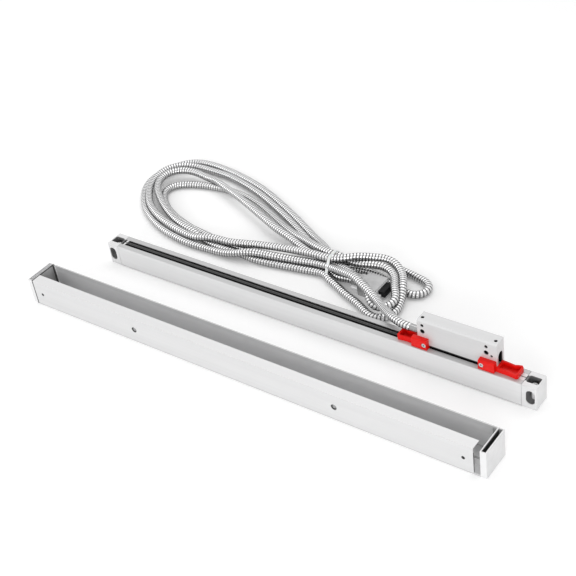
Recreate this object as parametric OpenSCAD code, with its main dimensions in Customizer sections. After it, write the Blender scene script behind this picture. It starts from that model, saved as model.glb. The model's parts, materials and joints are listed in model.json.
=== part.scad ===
// Enclosed linear glass scale: extruded body with seal lips, reading head on an inner
// carriage, armoured cable with a nine-pin plug, transport brackets and a dust cover.
// Origin: on the floor, in the middle of the scale and its cover standing side by side.
// +X runs along the scale, +Y from the cover towards the scale, +Z up. Millimetres.

/* [Scale body] */
// Measuring length of the scale
travel = 500; // [200:10:1000]
// Length kept free between the head and each end of the body at the travel limits
end_margin = 20; // [12:0.5:40]
// Width of the body section
body_w = 25.6; // [24:0.1:34]
// Height of the body section
body_h = 31.6; // [31:0.1:42]
// Wall of the body section
body_wall = 2.2; // [1.6:0.1:2.6]
// Thickness of the body's roof on both sides of the slot
roof_t = 3; // [2.6:0.1:4]
// Radius of the body's long outer edges
body_edge_r = 0.8; // [0.2:0.1:1.5]
// Width of the slot along the top
slot_w = 11; // [9:0.1:13]

/* [Seal lips] */
// Width left open between the two lips for the blade
lip_slit = 1.4; // [1.2:0.1:2]
// Thickness of a lip at its tip
lip_t = 0.7; // [0.4:0.1:1]
// Height of the groove that holds a lip's root
lip_groove_h = 1.4; // [1:0.1:1.6]
// Depth of that groove into the slot's side
lip_groove_d = 1.5; // [0.8:0.1:2]
// Length of the clamp at the left end of the lips
clamp_left_len = 2.5; // [1.5:0.1:6]
// Open length of slot between that clamp and the left cap
clamp_left_gap = 4; // [0:0.1:8]
// Length of the clamp at the right end of the lips
clamp_right_len = 9.5; // [2:0.1:14]

/* [End caps] */
// Length of an end cap along the scale
cap_len = 18.5; // [16:0.1:26]
// Radius of a cap's outer corners
cap_corner_r = 1.8; // [0.5:0.1:2.6]
// Width of the window in a cap's side
window_w = 11; // [9:0.1:12]
// Height of that window
window_h = 19; // [14:0.1:20]
// Height of the window's middle above the floor
window_z = 16.3; // [15:0.1:17]
// Distance of the window's middle from the cap's outer face
window_from_end = 7.9; // [7.2:0.1:9]
// Length of the pocket in a cap's top
pocket_len = 14.8; // [12:0.1:16]
// Width of that pocket
pocket_w = 12; // [9:0.1:14]
// Distance of the pocket from the cap's outer face
pocket_from_end = 1.9; // [1.5:0.1:3]
// Wall left behind the window, at the back of the cap
cap_back_wall = 3; // [2:0.1:5]
// Length of the spigot that enters the body
spigot_len = 8; // [5:0.5:12]
// Thickness of the gasket between cap and body
gasket_t = 0.5; // [0.3:0.1:1]

/* [Mounting bushes] */
// Outer diameter of a mounting bush
bush_d = 7.4; // [6:0.1:8]
// Bore of a mounting bush
bush_bore = 4.5; // [3:0.1:5]
// Height of a mounting bush
bush_h = 21; // [16:0.5:23]
// Distance of the bush's axis from the cap's outer face
bush_from_end = 8.6; // [7.6:0.1:9]

/* [Glass scale] */
// Thickness of the glass
glass_t = 2; // [1.5:0.1:2.5]
// Distance of the glass's top edge below the body's top
glass_drop = 15.4; // [14.8:0.1:17.4]
// Height of the ribs that hold it
glass_rib_h = 4; // [2.5:0.1:4.4]
// Thickness of a rib
glass_rib_t = 1.2; // [0.8:0.1:1.5]
// Thickness of the rubber strip that wedges the glass
wedge_t = 1; // [0.6:0.1:1.2]
// Distance of the glass's measuring face from the body's front
glass_face_y = 10; // [9.6:0.1:10.4]

/* [Reading head] */
// Length of the reading head
head_len = 102; // [80:1:140]
// Depth of the reading head, front to back
head_d = 16.8; // [15:0.1:22]
// Height of the reading head
head_h = 35; // [30:0.1:45]
// Gap between the head and the body's top
head_gap = 1.4; // [1.2:0.1:2]
// Distance of the head's front from the body's front
head_front_y = 8.5; // [8:0.1:9.5]
// Size of the bevel along the head's top front edge
head_bevel = 2.2; // [1:0.1:3]
// Distance of the head, as it stands, from its right-hand limit
head_from_limit = 32.5; // [0:0.5:60]
// Diameter of the threaded holes in the head's top and front
head_thread_d = 4.2; // [3:0.1:5]
// Distance between the two holes in the top
top_hole_pitch = 93.4; // [60:0.1:94]
// Distance of those two holes behind the head's front
top_hole_y = 6.8; // [5:0.1:10]
// Distance between the left and right pairs of front holes
front_hole_pitch = 82; // [50:0.1:84]
// Diameter of the counterbore of the lower front holes
counterbore_d = 6; // [5:0.1:7]
// Distance of the upper front holes below the head's top
front_hole_drop = 6.8; // [5:0.1:8]
// Distance between the upper and the lower front holes
front_hole_row = 8.5; // [7:0.1:9]
// Wall of the head around its circuit board
head_wall = 3; // [2:0.1:3.5]
// Thickness of the plate under the head
base_t = 2.5; // [2:0.1:4]
// Thickness of the blade between head and carriage
blade_t = 0.8; // [0.5:0.1:0.8]
// How much shorter the blade is than the head
blade_inset = 38; // [34:1:60]

/* [Carriage] */
// Length of the carriage
carriage_len = 72; // [60:1:90]
// Diameter of the ball-bearing rollers
roller_d = 5; // [4:0.1:5.2]
// Width of a roller
roller_w = 2; // [1.5:0.1:2.3]
// Bore of a roller
roller_bore = 1.5; // [1:0.1:2]
// Gap between a resting roller and the glass
roller_gap = 0.3; // [0.1:0.05:0.4]
// Radial clearance between a roller and its axle
axle_play = 0.04; // [0.02:0.01:0.1]

/* [Transport brackets] */
// Length of the cheek in front of the head
cheek_len = 20; // [16:0.1:30]
// Height of the cheek
cheek_h = 12.8; // [11:0.1:17]
// Thickness of the cheek
cheek_t = 6.5; // [4:0.1:7]
// How far the cheek stands out past the head's end
cheek_overhang = 2.4; // [1:0.1:4]
// How far both brackets are set to the left of their mirrored places
bracket_shift = 2.9; // [0:0.1:3]
// How far the tray reaches past the head's end
tray_reach = 27; // [20:0.1:30]
// Width of the tray
tray_w = 15; // [12:0.1:17]
// Height of the tray
tray_h = 6; // [4:0.1:8]
// Wall of the tray
tray_wall = 2.4; // [1.5:0.1:3]
// Length of the spacer tongue beyond the cheek, under the head
tongue_len = 0.5; // [0:0.1:6]
// Clearance between a bracket and the pieces it slides over or touches
bracket_gap = 0.15; // [0.1:0.05:0.3]

/* [Dust cover] */
// Room between each end of the scale and the cover's end plate
cover_room = 10.5; // [6:0.5:20]
// Width of the cover
cover_w = 41; // [36:0.1:60]
// Height of the cover
cover_h = 37.2; // [34:0.1:50]
// Wall of the cover's channel
cover_wall = 1.6; // [1.4:0.1:2.5]
// Width of the lip along the top of the front wall
cover_lip_w = 14; // [8:0.1:18]
// Length cut off the front wall at its right end
cover_notch = 8; // [0:0.5:20]
// Thickness of a cover end, over both of its walls
cover_end_t = 7.5; // [5:0.1:12]
// Wall of a cover end
cover_end_wall = 1.3; // [1:0.1:2.2]
// Distance between the cover and the scale as they stand
cover_gap = 75.5; // [40:0.5:120]
// Distance between the two countersunk holes in the front wall
cover_hole_pitch = 302; // [100:1:320]
// Diameter of those holes
cover_hole_d = 5; // [3:0.1:7]
// Diameter of their countersink
cover_sink_d = 9; // [8:0.1:12]
// Depth of their countersink
cover_sink_depth = 1.1; // [0.5:0.1:1.3]
// Distance of the small end screws from the ends of the channel
cover_screw_from_end = 14; // [8:0.5:20]
// How far the scale stands to the right of the cover's middle
scale_shift = 17; // [0:0.5:18]

/* [Cable] */
// Outer diameter of the armour hose
hose_d = 10.5; // [8:0.1:11]
// Diameter of the ferrule at the head
ferrule_d = 9; // [7:0.1:11]
// Length of the ferrule outside the head
ferrule_len = 14; // [8:0.5:20]
// Height of the cable outlet above the head's underside
outlet_z = 12.4; // [11:0.1:12.8]
// Distance of the cable outlet from the head's front
outlet_y = 8.4; // [7:0.1:10]
// Height of the tied-up hank
hank_h = 22; // [18:0.5:24]
// Width of the cable tie
tie_w = 3.6; // [2.5:0.1:5]
// Thickness of the cable tie
tie_t = 1.2; // [0.8:0.1:2]

/* [Plug] */
// Width of the plug's hood
hood_w = 31.5; // [31:0.1:34]
// Thickness of the hood
hood_t = 15; // [14:0.1:16]
// Length of the hood
hood_len = 43; // [36:0.5:48]
// Wall of the hood
hood_wall = 1.5; // [1:0.1:2]
// Distance between the two thumbscrews
thumb_pitch = 25; // [24:0.1:26]
// Diameter of a thumbscrew's shank
thumb_d = 3; // [2.5:0.1:3.2]
// Diameter of a thumbscrew's knurled head
thumb_head_d = 6.6; // [5:0.1:7.4]
// Width of the connector's flange
flange_w = 30.8; // [30:0.1:33]
// Height of the connector's flange
flange_h = 12.5; // [11:0.1:13.5]
// Width of the black insulator in front of the flange
insert_w = 20; // [17:0.1:21]
// How far the insulator stands out in front of the flange
insert_len = 9; // [6:0.1:12]

/* [Hidden] */
$fn = 48;

// Small sizes shared by several pieces
eps = 0.01;
fit = 0.1;
thread_3 = 2.5;
shank_3 = thread_3 - 0.04;
hole_3 = 3.2;
head_3 = 5.5;

// Overall sizes and places
scale_len = travel + head_len + 2 * end_margin;
cover_len = scale_len + 2 * cover_room + 2 * cover_end_t;
total_d = cover_w + cover_gap + body_w;
scale_left = scale_shift - scale_len / 2;
scale_front = total_d / 2 - body_w;
cover_left = -cover_len / 2;
cover_front = -total_d / 2;
slot_y = body_w / 2;
housing_len = scale_len - 2 * cap_len;
cavity_top = body_h - roof_t;
head_x = scale_len - end_margin - head_from_limit - head_len;
head_mid = head_x + head_len / 2;
blade_len = head_len - blade_inset;
head_z = body_h + head_gap;

// Frames of the two things that stand side by side, and of the head
module at_scale() { translate([scale_left, scale_front, 0]) children(); }
module at_cover() { translate([cover_left, cover_front, 0]) children(); }
module at_head() { at_scale() translate([head_x, head_front_y, head_z]) children(); }
module at_right_end() { translate([scale_len, 0, 0]) mirror([1, 0, 0]) children(); }

// A section drawn in Y and Z, run along X
module along_x(len) { rotate([90, 0, 90]) linear_extrude(len) children(); }
// A section drawn in X and Z, run along Y
module along_y(len) { translate([0, len, 0]) rotate([90, 0, 0]) linear_extrude(len) children(); }
// Rods along X and Y
module rod_x(d, len) { rotate([0, 90, 0]) cylinder(d = d, h = len); }
module rod_y(d, len) { rotate([-90, 0, 0]) cylinder(d = d, h = len); }
// A tube along Z
module tube(od, id, h) {
    difference() {
        cylinder(d = od, h = h);
        translate([0, 0, -1]) cylinder(d = id, h = h + 2);
    }
}
// A rectangle with round corners
module round_rect(w, h, r) {
    translate([r, 0]) square([w - 2 * r, h]);
    translate([0, r]) square([w, h - 2 * r]);
    for (x = [r, w - r], y = [r, h - r]) translate([x, y]) circle(r = r, $fn = 24);
}
// A stadium standing upright about its middle
module stadium(w, h) {
    square([w, h - w], center = true);
    for (s = [-1, 1]) translate([0, s * (h - w) / 2]) circle(d = w);
}

// ---- Scale body ----

wedge_y = glass_face_y - glass_t - wedge_t - 2 * fit;

module glass_ribs() {
    translate([wedge_y - glass_rib_t, body_wall - eps])
        square([glass_rib_t, glass_rib_h + eps]);
    translate([glass_face_y + fit, body_wall - eps])
        square([glass_rib_t, glass_rib_h + eps]);
}

lip_groove_z = body_h - 0.9 - lip_groove_h;

module housing_section() {
    difference() {
        round_rect(body_w, body_h, body_edge_r);
        translate([body_wall, body_wall])
            square([body_w - 2 * body_wall, cavity_top - body_wall]);
        translate([slot_y - slot_w / 2, cavity_top - 1]) square([slot_w, roof_t + 2]);
        translate([slot_y - slot_w / 2 - lip_groove_d, lip_groove_z])
            square([slot_w + 2 * lip_groove_d, lip_groove_h]);
    }
    glass_ribs();
}

spigot_y = glass_face_y + fit + glass_rib_t + 0.5;
spigot_w = body_w - body_wall - spigot_y - fit;
spigot_h = 18;
cap_screw_x = cap_len + spigot_len / 2;
cap_screw_y = spigot_y + spigot_w / 2;

module housing() {
    color("silver") at_scale() difference() {
        translate([cap_len + gasket_t, 0, 0]) along_x(housing_len - 2 * gasket_t)
            housing_section();
        for (m = [0, 1]) mirror_end(m) translate([cap_screw_x, cap_screw_y, -eps]) {
            cylinder(d = hole_3, h = body_wall + 2 * eps);
            cylinder(d1 = head_3 + 0.4, d2 = hole_3, h = 1.4);
        }
    }
}
// The same thing at the left end (m = 0) or the right end (m = 1)
module mirror_end(m) { if (m == 0) children(); else at_right_end() children(); }

// ---- End caps ----

module cap_block() {
    intersection() {
        linear_extrude(body_h) cap_plan();
        along_y(body_w) cap_side();
    }
}
module cap_plan() {
    r = cap_corner_r;
    translate([r, 0]) square([cap_len - r, body_w]);
    translate([0, r]) square([r + eps, body_w - 2 * r]);
    for (y = [r, body_w - r]) translate([r, y]) circle(r = r, $fn = 32);
}
module cap_side() {
    r = cap_corner_r / 2;
    translate([r, 0]) square([cap_len - r, body_h]);
    translate([0, r]) square([r + eps, body_h - 2 * r]);
    for (z = [r, body_h - r]) translate([r, z]) circle(r = r, $fn = 32);
}

bush_seat_z = window_z - window_h / 2 - 3;
window_top = window_z + window_h / 2;
pocket_r = 2;

module end_cap() {
    difference() {
        union() {
            cap_block();
            translate([cap_len - eps, spigot_y, body_wall + fit])
                cube([spigot_len + eps, spigot_w, spigot_h]);
        }
        // Pocket in the top, open to the window below it
        translate([pocket_from_end, slot_y - pocket_w / 2, window_z])
            linear_extrude(body_h) round_rect(pocket_len, pocket_w, pocket_r);
        // Window in the front, running back to the rear wall
        translate([window_from_end, -eps, window_z]) along_y(body_w - cap_back_wall + eps)
            stadium(window_w, window_h);
        // Seat and hole of the mounting bush
        translate([bush_from_end, slot_y, bush_seat_z]) cylinder(d = bush_d + 2 * fit, h = window_h);
        translate([bush_from_end, slot_y, -eps]) cylinder(d = bush_bore + 0.4, h = body_h);
        // Blind hole for the screw from below
        translate([cap_screw_x, cap_screw_y, 0]) cylinder(d = thread_3, h = body_wall + 10);
        // Mouth towards the slot
        translate([pocket_from_end + pocket_len - 1, slot_y - slot_w / 2 + 1, body_h - 1.2])
            cube([cap_len, slot_w - 2, 3]);
    }
}
module end_cap_left() { color("whitesmoke") at_scale() end_cap(); }
module end_cap_right() { color("whitesmoke") at_scale() at_right_end() end_cap(); }

module cap_screws() {
    color("dimgray") at_scale() for (m = [0, 1]) mirror_end(m)
        translate([cap_screw_x, cap_screw_y, 0.1]) difference() {
            union() {
                cylinder(d1 = head_3 + 0.1, d2 = shank_3, h = 1.3);
                cylinder(d = shank_3, h = body_wall + 6);
            }
            translate([0, 0, -eps]) cylinder(d = 2, h = 1, $fn = 6);
        }
}

module cap_gaskets() {
    color("black") at_scale() for (m = [0, 1]) mirror_end(m)
        translate([cap_len, 0, 0]) along_x(gasket_t) difference() {
            translate([0.4, 0.4]) round_rect(body_w - 0.8, body_h - 0.8, body_edge_r);
            translate([body_wall, body_wall]) square([body_w - 2 * body_wall, body_h]);
        }
}

module mounting_bushes() {
    color("gainsboro") at_scale() for (m = [0, 1]) mirror_end(m)
        translate([bush_from_end, slot_y, bush_seat_z]) tube(bush_d, bush_bore, bush_h);
}

// ---- Seal lips ----

lips_x = cap_len + gasket_t + clamp_left_gap + clamp_left_len;
lips_len = scale_len - lips_x - cap_len - clamp_right_len;
lip_root = lip_groove_d - fit;

module lip_section() {
    y0 = slot_y - slot_w / 2;
    tip = slot_y - lip_slit / 2;
    translate([y0 - lip_root, lip_groove_z + fit])
        square([lip_root + 0.6, lip_groove_h - 2 * fit]);
    polygon([[y0, lip_groove_z + fit], [y0 + 1.2, lip_groove_z + fit],
        [tip, body_h - 0.3 - lip_t], [tip, body_h - 0.3],
        [tip - 1.2, body_h - 0.3], [y0 + fit, lip_groove_z + lip_groove_h - fit]]);
}
module lip_seal_front() {
    color("black") at_scale() translate([lips_x, 0, 0]) along_x(lips_len) lip_section();
}
module lip_seal_rear() {
    color("black") at_scale() translate([lips_x, 0, 0]) along_x(lips_len)
        translate([2 * slot_y, 0]) mirror([1, 0]) lip_section();
}

// Clamp blocks that close the slot at the ends of the lips
module lip_clamp(len) {
    difference() {
        along_x(len) union() {
            translate([slot_y - slot_w / 2 + fit / 2, body_h - roof_t])
                square([slot_w - fit, roof_t - 0.05]);
            translate([slot_y - slot_w / 2 - lip_root, lip_groove_z + fit])
                square([slot_w + 2 * lip_root, lip_groove_h - 2 * fit]);
        }
        translate([-1, slot_y - lip_slit / 2, body_h - 1.2]) cube([len + 2, lip_slit, 2]);
    }
}
module lip_clamp_left() {
    color("whitesmoke") at_scale() translate([lips_x - clamp_left_len, 0, 0])
        lip_clamp(clamp_left_len - fit / 2);
}
module lip_clamp_right() {
    color("whitesmoke") at_scale() translate([lips_x + lips_len + fit / 2, 0, 0])
        lip_clamp(clamp_right_len - fit - gasket_t);
}

// ---- Glass ----

glass_x = cap_len + gasket_t + 1;
glass_len = scale_len - 2 * glass_x;
glass_z = body_wall;
glass_top = body_h - glass_drop;
glass_h = glass_top - glass_z;

module glass_scale() {
    color("lightblue") at_scale() translate([glass_x, glass_face_y - glass_t, glass_z])
        cube([glass_len, glass_t, glass_h]);
}
module glass_wedge_strip() {
    color("darkslategray") at_scale()
        translate([glass_x, wedge_y + fit, body_wall]) cube([glass_len, wedge_t, glass_rib_h - 0.5]);
}

buffer_t = 3;
buffer_h = (cavity_top - body_wall) / 3;
module end_buffers() {
    color("dimgray") at_scale() for (m = [0, 1]) mirror_end(m)
        translate([cap_len + spigot_len, cap_screw_y - 3.5, body_wall + buffer_h * 0.8])
            cube([buffer_t, 7, buffer_h]);
}

// ---- Reading head ----

outlet_x = 12;
pocket_x0 = 12;
pocket_x1 = head_len - 17;
step_len = 6;
top_hole_x = (head_len - top_hole_pitch) / 2;
front_hole_x = 6.8;
set_screw_from_end = 6.5;
set_screw_z = outlet_z + 4.4;
arch_w = 10;
arch_h = 20;
arch_d = 7;

module head_outline() {
    polygon([[0, 0], [head_d, 0], [head_d, head_h], [head_bevel, head_h],
        [0, head_h - head_bevel]]);
}
module head_body() {
    color("gainsboro") at_head() difference() {
        along_x(head_len) head_outline();
        // Cavity for the circuit board, open below
        translate([pocket_x0, head_wall, -eps])
            cube([pocket_x1 - pocket_x0, head_d - 2 * head_wall, head_h - head_wall - 6]);
        // Step that takes the base plate
        translate([pocket_x0 - step_len, head_wall - 1.5, -eps])
            cube([pocket_x1 - pocket_x0 + 2 * step_len, head_d - 2 * head_wall + 3, base_t + eps]);
        for (x = [pocket_x0 - 2.6, pocket_x1 + 2.6])
            translate([x, head_d / 2, 0]) cylinder(d = thread_3, h = base_t + 7);
        // Threaded holes in the top
        for (x = [top_hole_x, top_hole_x + top_hole_pitch])
            translate([x, top_hole_y, head_h - 9]) cylinder(d = head_thread_d, h = 10);
        // Threaded and counterbored holes in the front
        for (x = [front_hole_x, front_hole_x + front_hole_pitch]) {
            translate([x, -1, head_h - front_hole_drop]) rod_y(head_thread_d, 10);
            translate([x, -1, head_h - front_hole_drop - front_hole_row]) {
                rod_y(counterbore_d, 1 + 5);
                rod_y(head_thread_d, head_d + 2);
            }
        }
        // Set screw hole beside the right-hand outlet
        translate([head_len - set_screw_from_end, -1, set_screw_z]) rod_y(3.2, 6);
        // Cable outlet on the left
        translate([-1, outlet_y, outlet_z]) rod_x(ferrule_d + 2 * fit, outlet_x + 2);
        // Arched outlet on the right, not used
        translate([head_len - arch_d, head_d / 2, 0]) along_x(arch_d + 1) {
            translate([-arch_w / 2, -1]) square([arch_w, arch_h - arch_w / 2 + 1]);
            translate([0, arch_h - arch_w / 2]) circle(d = arch_w);
        }
    }
}
module head_set_screw() {
    color("gray") at_head() translate([head_len - set_screw_from_end, 0.6, set_screw_z]) difference() {
        rod_y(3.1, 4);
        translate([0, -eps, 0]) rotate([-90, 0, 0]) cylinder(d = 1.7, h = 1.5, $fn = 6);
    }
}

plate_x = pocket_x0 - step_len + fit;
plate_len = pocket_x1 - pocket_x0 + 2 * (step_len - fit);
plate_y = head_wall - 1.5 + fit;
plate_w = head_d - 2 * head_wall + 3 - 2 * fit;
blade_y = slot_y - head_front_y;
blade_x = head_len / 2 - blade_len / 2;
blade_foot_z = -head_gap - roof_t - 2.2;
blade_foot_w = 6;

module head_base_plate() {
    color("darkgray") at_head() difference() {
        translate([plate_x, plate_y, 0]) cube([plate_len, plate_w, base_t - fit]);
        translate([blade_x - fit, blade_y - blade_t / 2 - fit / 2, -1])
            cube([blade_len + 2 * fit, blade_t + fit, base_t + 2]);
        for (x = [pocket_x0 - 2.6, pocket_x1 + 2.6]) translate([x, head_d / 2, -1]) {
            cylinder(d = hole_3, h = base_t + 2);
            cylinder(d = head_3 + 0.4, h = 2.2);
        }
    }
}
module head_base_screws() {
    color("dimgray") at_head() for (x = [pocket_x0 - 2.6, pocket_x1 + 2.6])
        translate([x, head_d / 2, 0.1]) difference() {
            union() {
                cylinder(d = head_3, h = 1.05);
                cylinder(d = shank_3, h = base_t + 5);
            }
            translate([0, 0, -eps]) cylinder(d = 2.4, h = 0.7, $fn = 6);
        }
}

board_t = 1.6;
board_x = pocket_x0 + 4;
board_len = pocket_x1 - pocket_x0 - 8;
board_y = head_d - head_wall - 2 * board_t;
board_h = head_h - 17;
chip_len = board_len / 7;
chip_t = 1.2;
foot_len = 6;
foot_in = 4;
module head_circuit_board() {
    at_head() {
        color("seagreen") translate([board_x, board_y, base_t + 2])
            cube([board_len, board_t, board_h]);
        color("darkslategray") for (i = [1 : 3])
            translate([board_x + i * board_len / 4 - chip_len / 2, board_y - chip_t, base_t + 6])
                cube([chip_len, chip_t + eps, board_h * 0.4]);
        // Feet that stand the board on the plate
        color("seagreen") for (x = [foot_in, board_len - foot_in - foot_len])
            translate([board_x + x, board_y, base_t - fit])
                cube([foot_len, board_t, 2 + fit + eps]);
    }
}

rivet_x = blade_len * 11 / 32;
rivet_d = 2;
// Blade of thin steel: a flange inside the head, a web through the slit, a foot below
module coupling_blade() {
    color("lightsteelblue") at_head() difference() {
        union() {
            translate([blade_x, blade_y - blade_t / 2, blade_foot_z])
                cube([blade_len, blade_t, base_t - blade_foot_z + blade_t]);
            translate([blade_x, blade_y - blade_t / 2, base_t - fit])
                cube([blade_len, blade_foot_w, blade_t]);
        }
        // Fork that takes the carriage's driving stud
        translate([head_len / 2, blade_y - 2, blade_foot_z - 1]) {
            translate([-1.6, 0, 0]) cube([3.2, 4, 2.6]);
        }
        for (x = [-rivet_x, rivet_x]) translate([head_len / 2 + x, blade_y + 3, base_t - 1])
            cylinder(d = rivet_d, h = 3);
    }
}
module blade_rivets() {
    color("silver") at_head() for (x = [-rivet_x, rivet_x])
        translate([head_len / 2 + x, blade_y + 3, base_t - fit]) {
            translate([0, 0, blade_t]) cylinder(d = 3.6, h = 1);
            cylinder(d = rivet_d - 2 * fit, h = blade_t + eps);
        }
}

// ---- Carriage ----

carriage_x = head_mid - carriage_len / 2;
carriage_top = cavity_top - 4.6;
bridge_t = 2.2;
back_y = glass_face_y + 5.9;
back_t = 2.6;
arm_y = body_wall + 1.5;
arm_t = 2.2;
arm_z = body_wall + glass_rib_h + 2.6;
back_z = body_wall + glass_rib_h + 1.3;
face_y = glass_face_y + roller_gap + roller_d / 2;
edge_z = glass_top + roller_gap + roller_d / 2;
edge_y = glass_face_y - glass_t / 2;
axle_d = roller_bore - 2 * axle_play;
low_z = back_z + 1.2;
high_z = low_z + 4.8;
face_rollers = [[-carriage_len * 3 / 8, low_z], [-carriage_len * 7 / 36, high_z],
    [carriage_len * 3 / 8, low_z]];
edge_rollers = [-carriage_len / 3.6, carriage_len / 3.6];
ledge_t = 1.2;
pad_t = 2;
detector_z = back_z + 3.5;
detector_h = carriage_top - bridge_t - 2.3 - detector_z;

module carriage_frame() {
    color("slategray") at_scale() translate([carriage_x, 0, 0]) {
        translate([0, back_y, back_z]) cube([carriage_len, back_t, carriage_top - back_z]);
        translate([0, arm_y, carriage_top - bridge_t])
            cube([carriage_len, back_y + back_t - arm_y, bridge_t]);
        translate([6, arm_y, arm_z]) cube([carriage_len - 12, arm_t, carriage_top - arm_z]);
        // Ledges over the face rollers
        for (r = face_rollers)
            translate([carriage_len / 2 + r[0] - 2.5, face_y - 1.4, r[1] + roller_w + 0.3])
                cube([5, back_y - face_y + 1.4 + eps, ledge_t]);
        // Pad that carries the detector board
        translate([carriage_len / 2 - 4, back_y - pad_t, detector_z + 1])
            cube([12, pad_t + eps, detector_h - 1.5]);
        // Driving stud in the blade's fork, seated in the bridge
        translate([carriage_len / 2, slot_y, carriage_top - eps]) cylinder(d = 2.8, h = 4);
    }
}
module roller_axles() {
    color("silver") at_scale() translate([head_mid, 0, 0]) {
        for (r = face_rollers) translate([r[0], face_y, r[1] - 0.8]) {
            cylinder(d = axle_d, h = roller_w + 1.1);
            cylinder(d = axle_d + 1, h = 0.5);
        }
        for (x = edge_rollers) translate([x, arm_y + arm_t, edge_z]) {
            rod_y(axle_d, edge_y + roller_w / 2 + 0.8 - arm_y - arm_t);
            translate([0, edge_y + roller_w / 2 + 0.3 - arm_y - arm_t, 0]) rod_y(axle_d + 1, 0.5);
        }
    }
}
module roller() { tube(roller_d, roller_bore, roller_w); }
module face_roller(i) {
    color("silver") at_scale()
        translate([head_mid + face_rollers[i][0], face_y, face_rollers[i][1]]) roller();
}
module face_roller_left() { face_roller(0); }
module face_roller_middle() { face_roller(1); }
module face_roller_right() { face_roller(2); }
module edge_roller(i) {
    color("silver") at_scale()
        translate([head_mid + edge_rollers[i], edge_y - roller_w / 2, edge_z])
            rotate([-90, 0, 0]) roller();
}
module edge_roller_left() { edge_roller(0); }
module edge_roller_right() { edge_roller(1); }

spring_len = carriage_len / 2 - 14;
// Flat spring between the blade's foot and the carriage
module coupling_spring() {
    color("lightsteelblue") at_scale()
        translate([head_mid + 4, slot_y + blade_t / 2, carriage_top])
            cube([spring_len, 3.2, head_z + blade_foot_z + 1 - carriage_top]);
}
module lamp_board() {
    at_scale() translate([head_mid, 0, 0]) {
        color("seagreen") translate([-8, arm_y + arm_t, arm_z + 0.5]) cube([16, 0.8, 6]);
        color("white") translate([-2, arm_y + arm_t + 0.8 - eps, arm_z + 2]) cube([4, 0.6, 3]);
    }
}
detector_y = back_y - pad_t - 1;
sensor_t = 0.8;
reticle_t = 0.9;
module detector_board() {
    at_scale() translate([head_mid, 0, 0]) {
        color("seagreen") translate([-5, detector_y, detector_z]) cube([14, 1, detector_h]);
        color("black") translate([-2, detector_y - sensor_t, detector_z + 1])
            cube([8, sensor_t + eps, detector_h - 3.5]);
    }
}
module reticle() {
    color("lightblue") at_scale()
        translate([head_mid - 3, detector_y - sensor_t - reticle_t, detector_z + 0.5])
            cube([10, reticle_t, detector_h - 2.5]);
}

// ---- Transport brackets ----

cheek_z = body_h + bracket_gap;
cheek_y = head_front_y - bracket_gap - cheek_t;
tray_y = slot_y - tray_w / 2 + 0.8;
bracket_screw_x = cheek_len - 3.6;
bracket_screw_z = 5.8;
flare = 1.6;
waist = 1;
tongue_w = slot_y - blade_t / 2 - 0.6 - cheek_y;

// Left-hand bracket; x = 0 at the cheek's outer end, over is how far that stands out
module bracket(over) {
    difference() {
        union() {
            // Cheek in front of the head
            translate([0, cheek_y, cheek_z]) along_x(cheek_len) polygon([[0, 0], [cheek_t, 0],
                [cheek_t, cheek_h], [1.4, cheek_h], [0, cheek_h - 1.4]]);
            // Spacer tongue under the head
            translate([0, cheek_y, cheek_z])
                cube([cheek_len + tongue_len, tongue_w, head_gap - 2 * bracket_gap]);
            // Tray over the slot
            translate([0, 0, cheek_z]) linear_extrude(tray_h)
                tray_plan(over - bracket_gap, over - tray_reach);
        }
        // Pocket of the tray
        translate([0, 0, cheek_z + 1.2]) linear_extrude(tray_h)
            tray_pocket(min(over, 0) - tray_wall - 0.5, over - tray_reach);
        // Counterbored screw hole
        translate([bracket_screw_x, cheek_y - 1, cheek_z + bracket_screw_z]) {
            rod_y(hole_3, cheek_t + 2);
            rod_y(6.4, 1 + 2.6);
        }
    }
}
module tray_plan(x0, x1) {
    back = tray_y + tray_w;
    polygon([[eps, tray_y], [eps, cheek_y + cheek_t], [x0, cheek_y + cheek_t], [x0, back],
        [x0 - 5, back], [x0 * 0.4 + x1 * 0.6, back - waist], [x1 + 3, back + flare],
        [x1, back + flare - 3], [x1, tray_y - flare + 2], [x1 + 2, tray_y - flare],
        [x1 * 0.55, tray_y - flare * 0.2]]);
}
module tray_pocket(x0, x1) {
    w = tray_wall;
    back = tray_y + tray_w - w;
    polygon([[x0, tray_y + w], [x0, back], [x0 * 0.4 + x1 * 0.6, back - waist], [x1 + 3, back + flare],
        [x1 + w, back], [x1 + w, tray_y + w], [x1 + w + 1.5, tray_y - flare + w],
        [x1 * 0.55, tray_y - flare * 0.2 + w]]);
}
module bracket_left() {
    over = cheek_overhang + bracket_shift;
    color("red") at_scale() translate([head_x - over, 0, 0]) bracket(over);
}
module bracket_right() {
    over = cheek_overhang - bracket_shift;
    color("red") at_scale() translate([head_x + head_len + over, 0, 0]) mirror([1, 0, 0])
        bracket(over);
}
module bracket_screws() {
    span = head_len / 2 + cheek_overhang - bracket_screw_x;
    color("silver") at_scale() for (s = [-1, 1])
        translate([head_mid + s * span - bracket_shift, cheek_y + 0.4, cheek_z + bracket_screw_z])
        difference() {
            union() {
                rod_y(head_3, 2.1);
                rod_y(2.9, cheek_t + bracket_gap - 0.4);
            }
            translate([0, -eps, 0]) rotate([-90, 0, 0]) cylinder(d = 2.6, h = 1.6, $fn = 6);
        }
}

// ---- Dust cover ----

channel_x = cover_end_t;
channel_len = cover_len - 2 * cover_end_t;
cover_mid_z = cover_h / 2;

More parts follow.
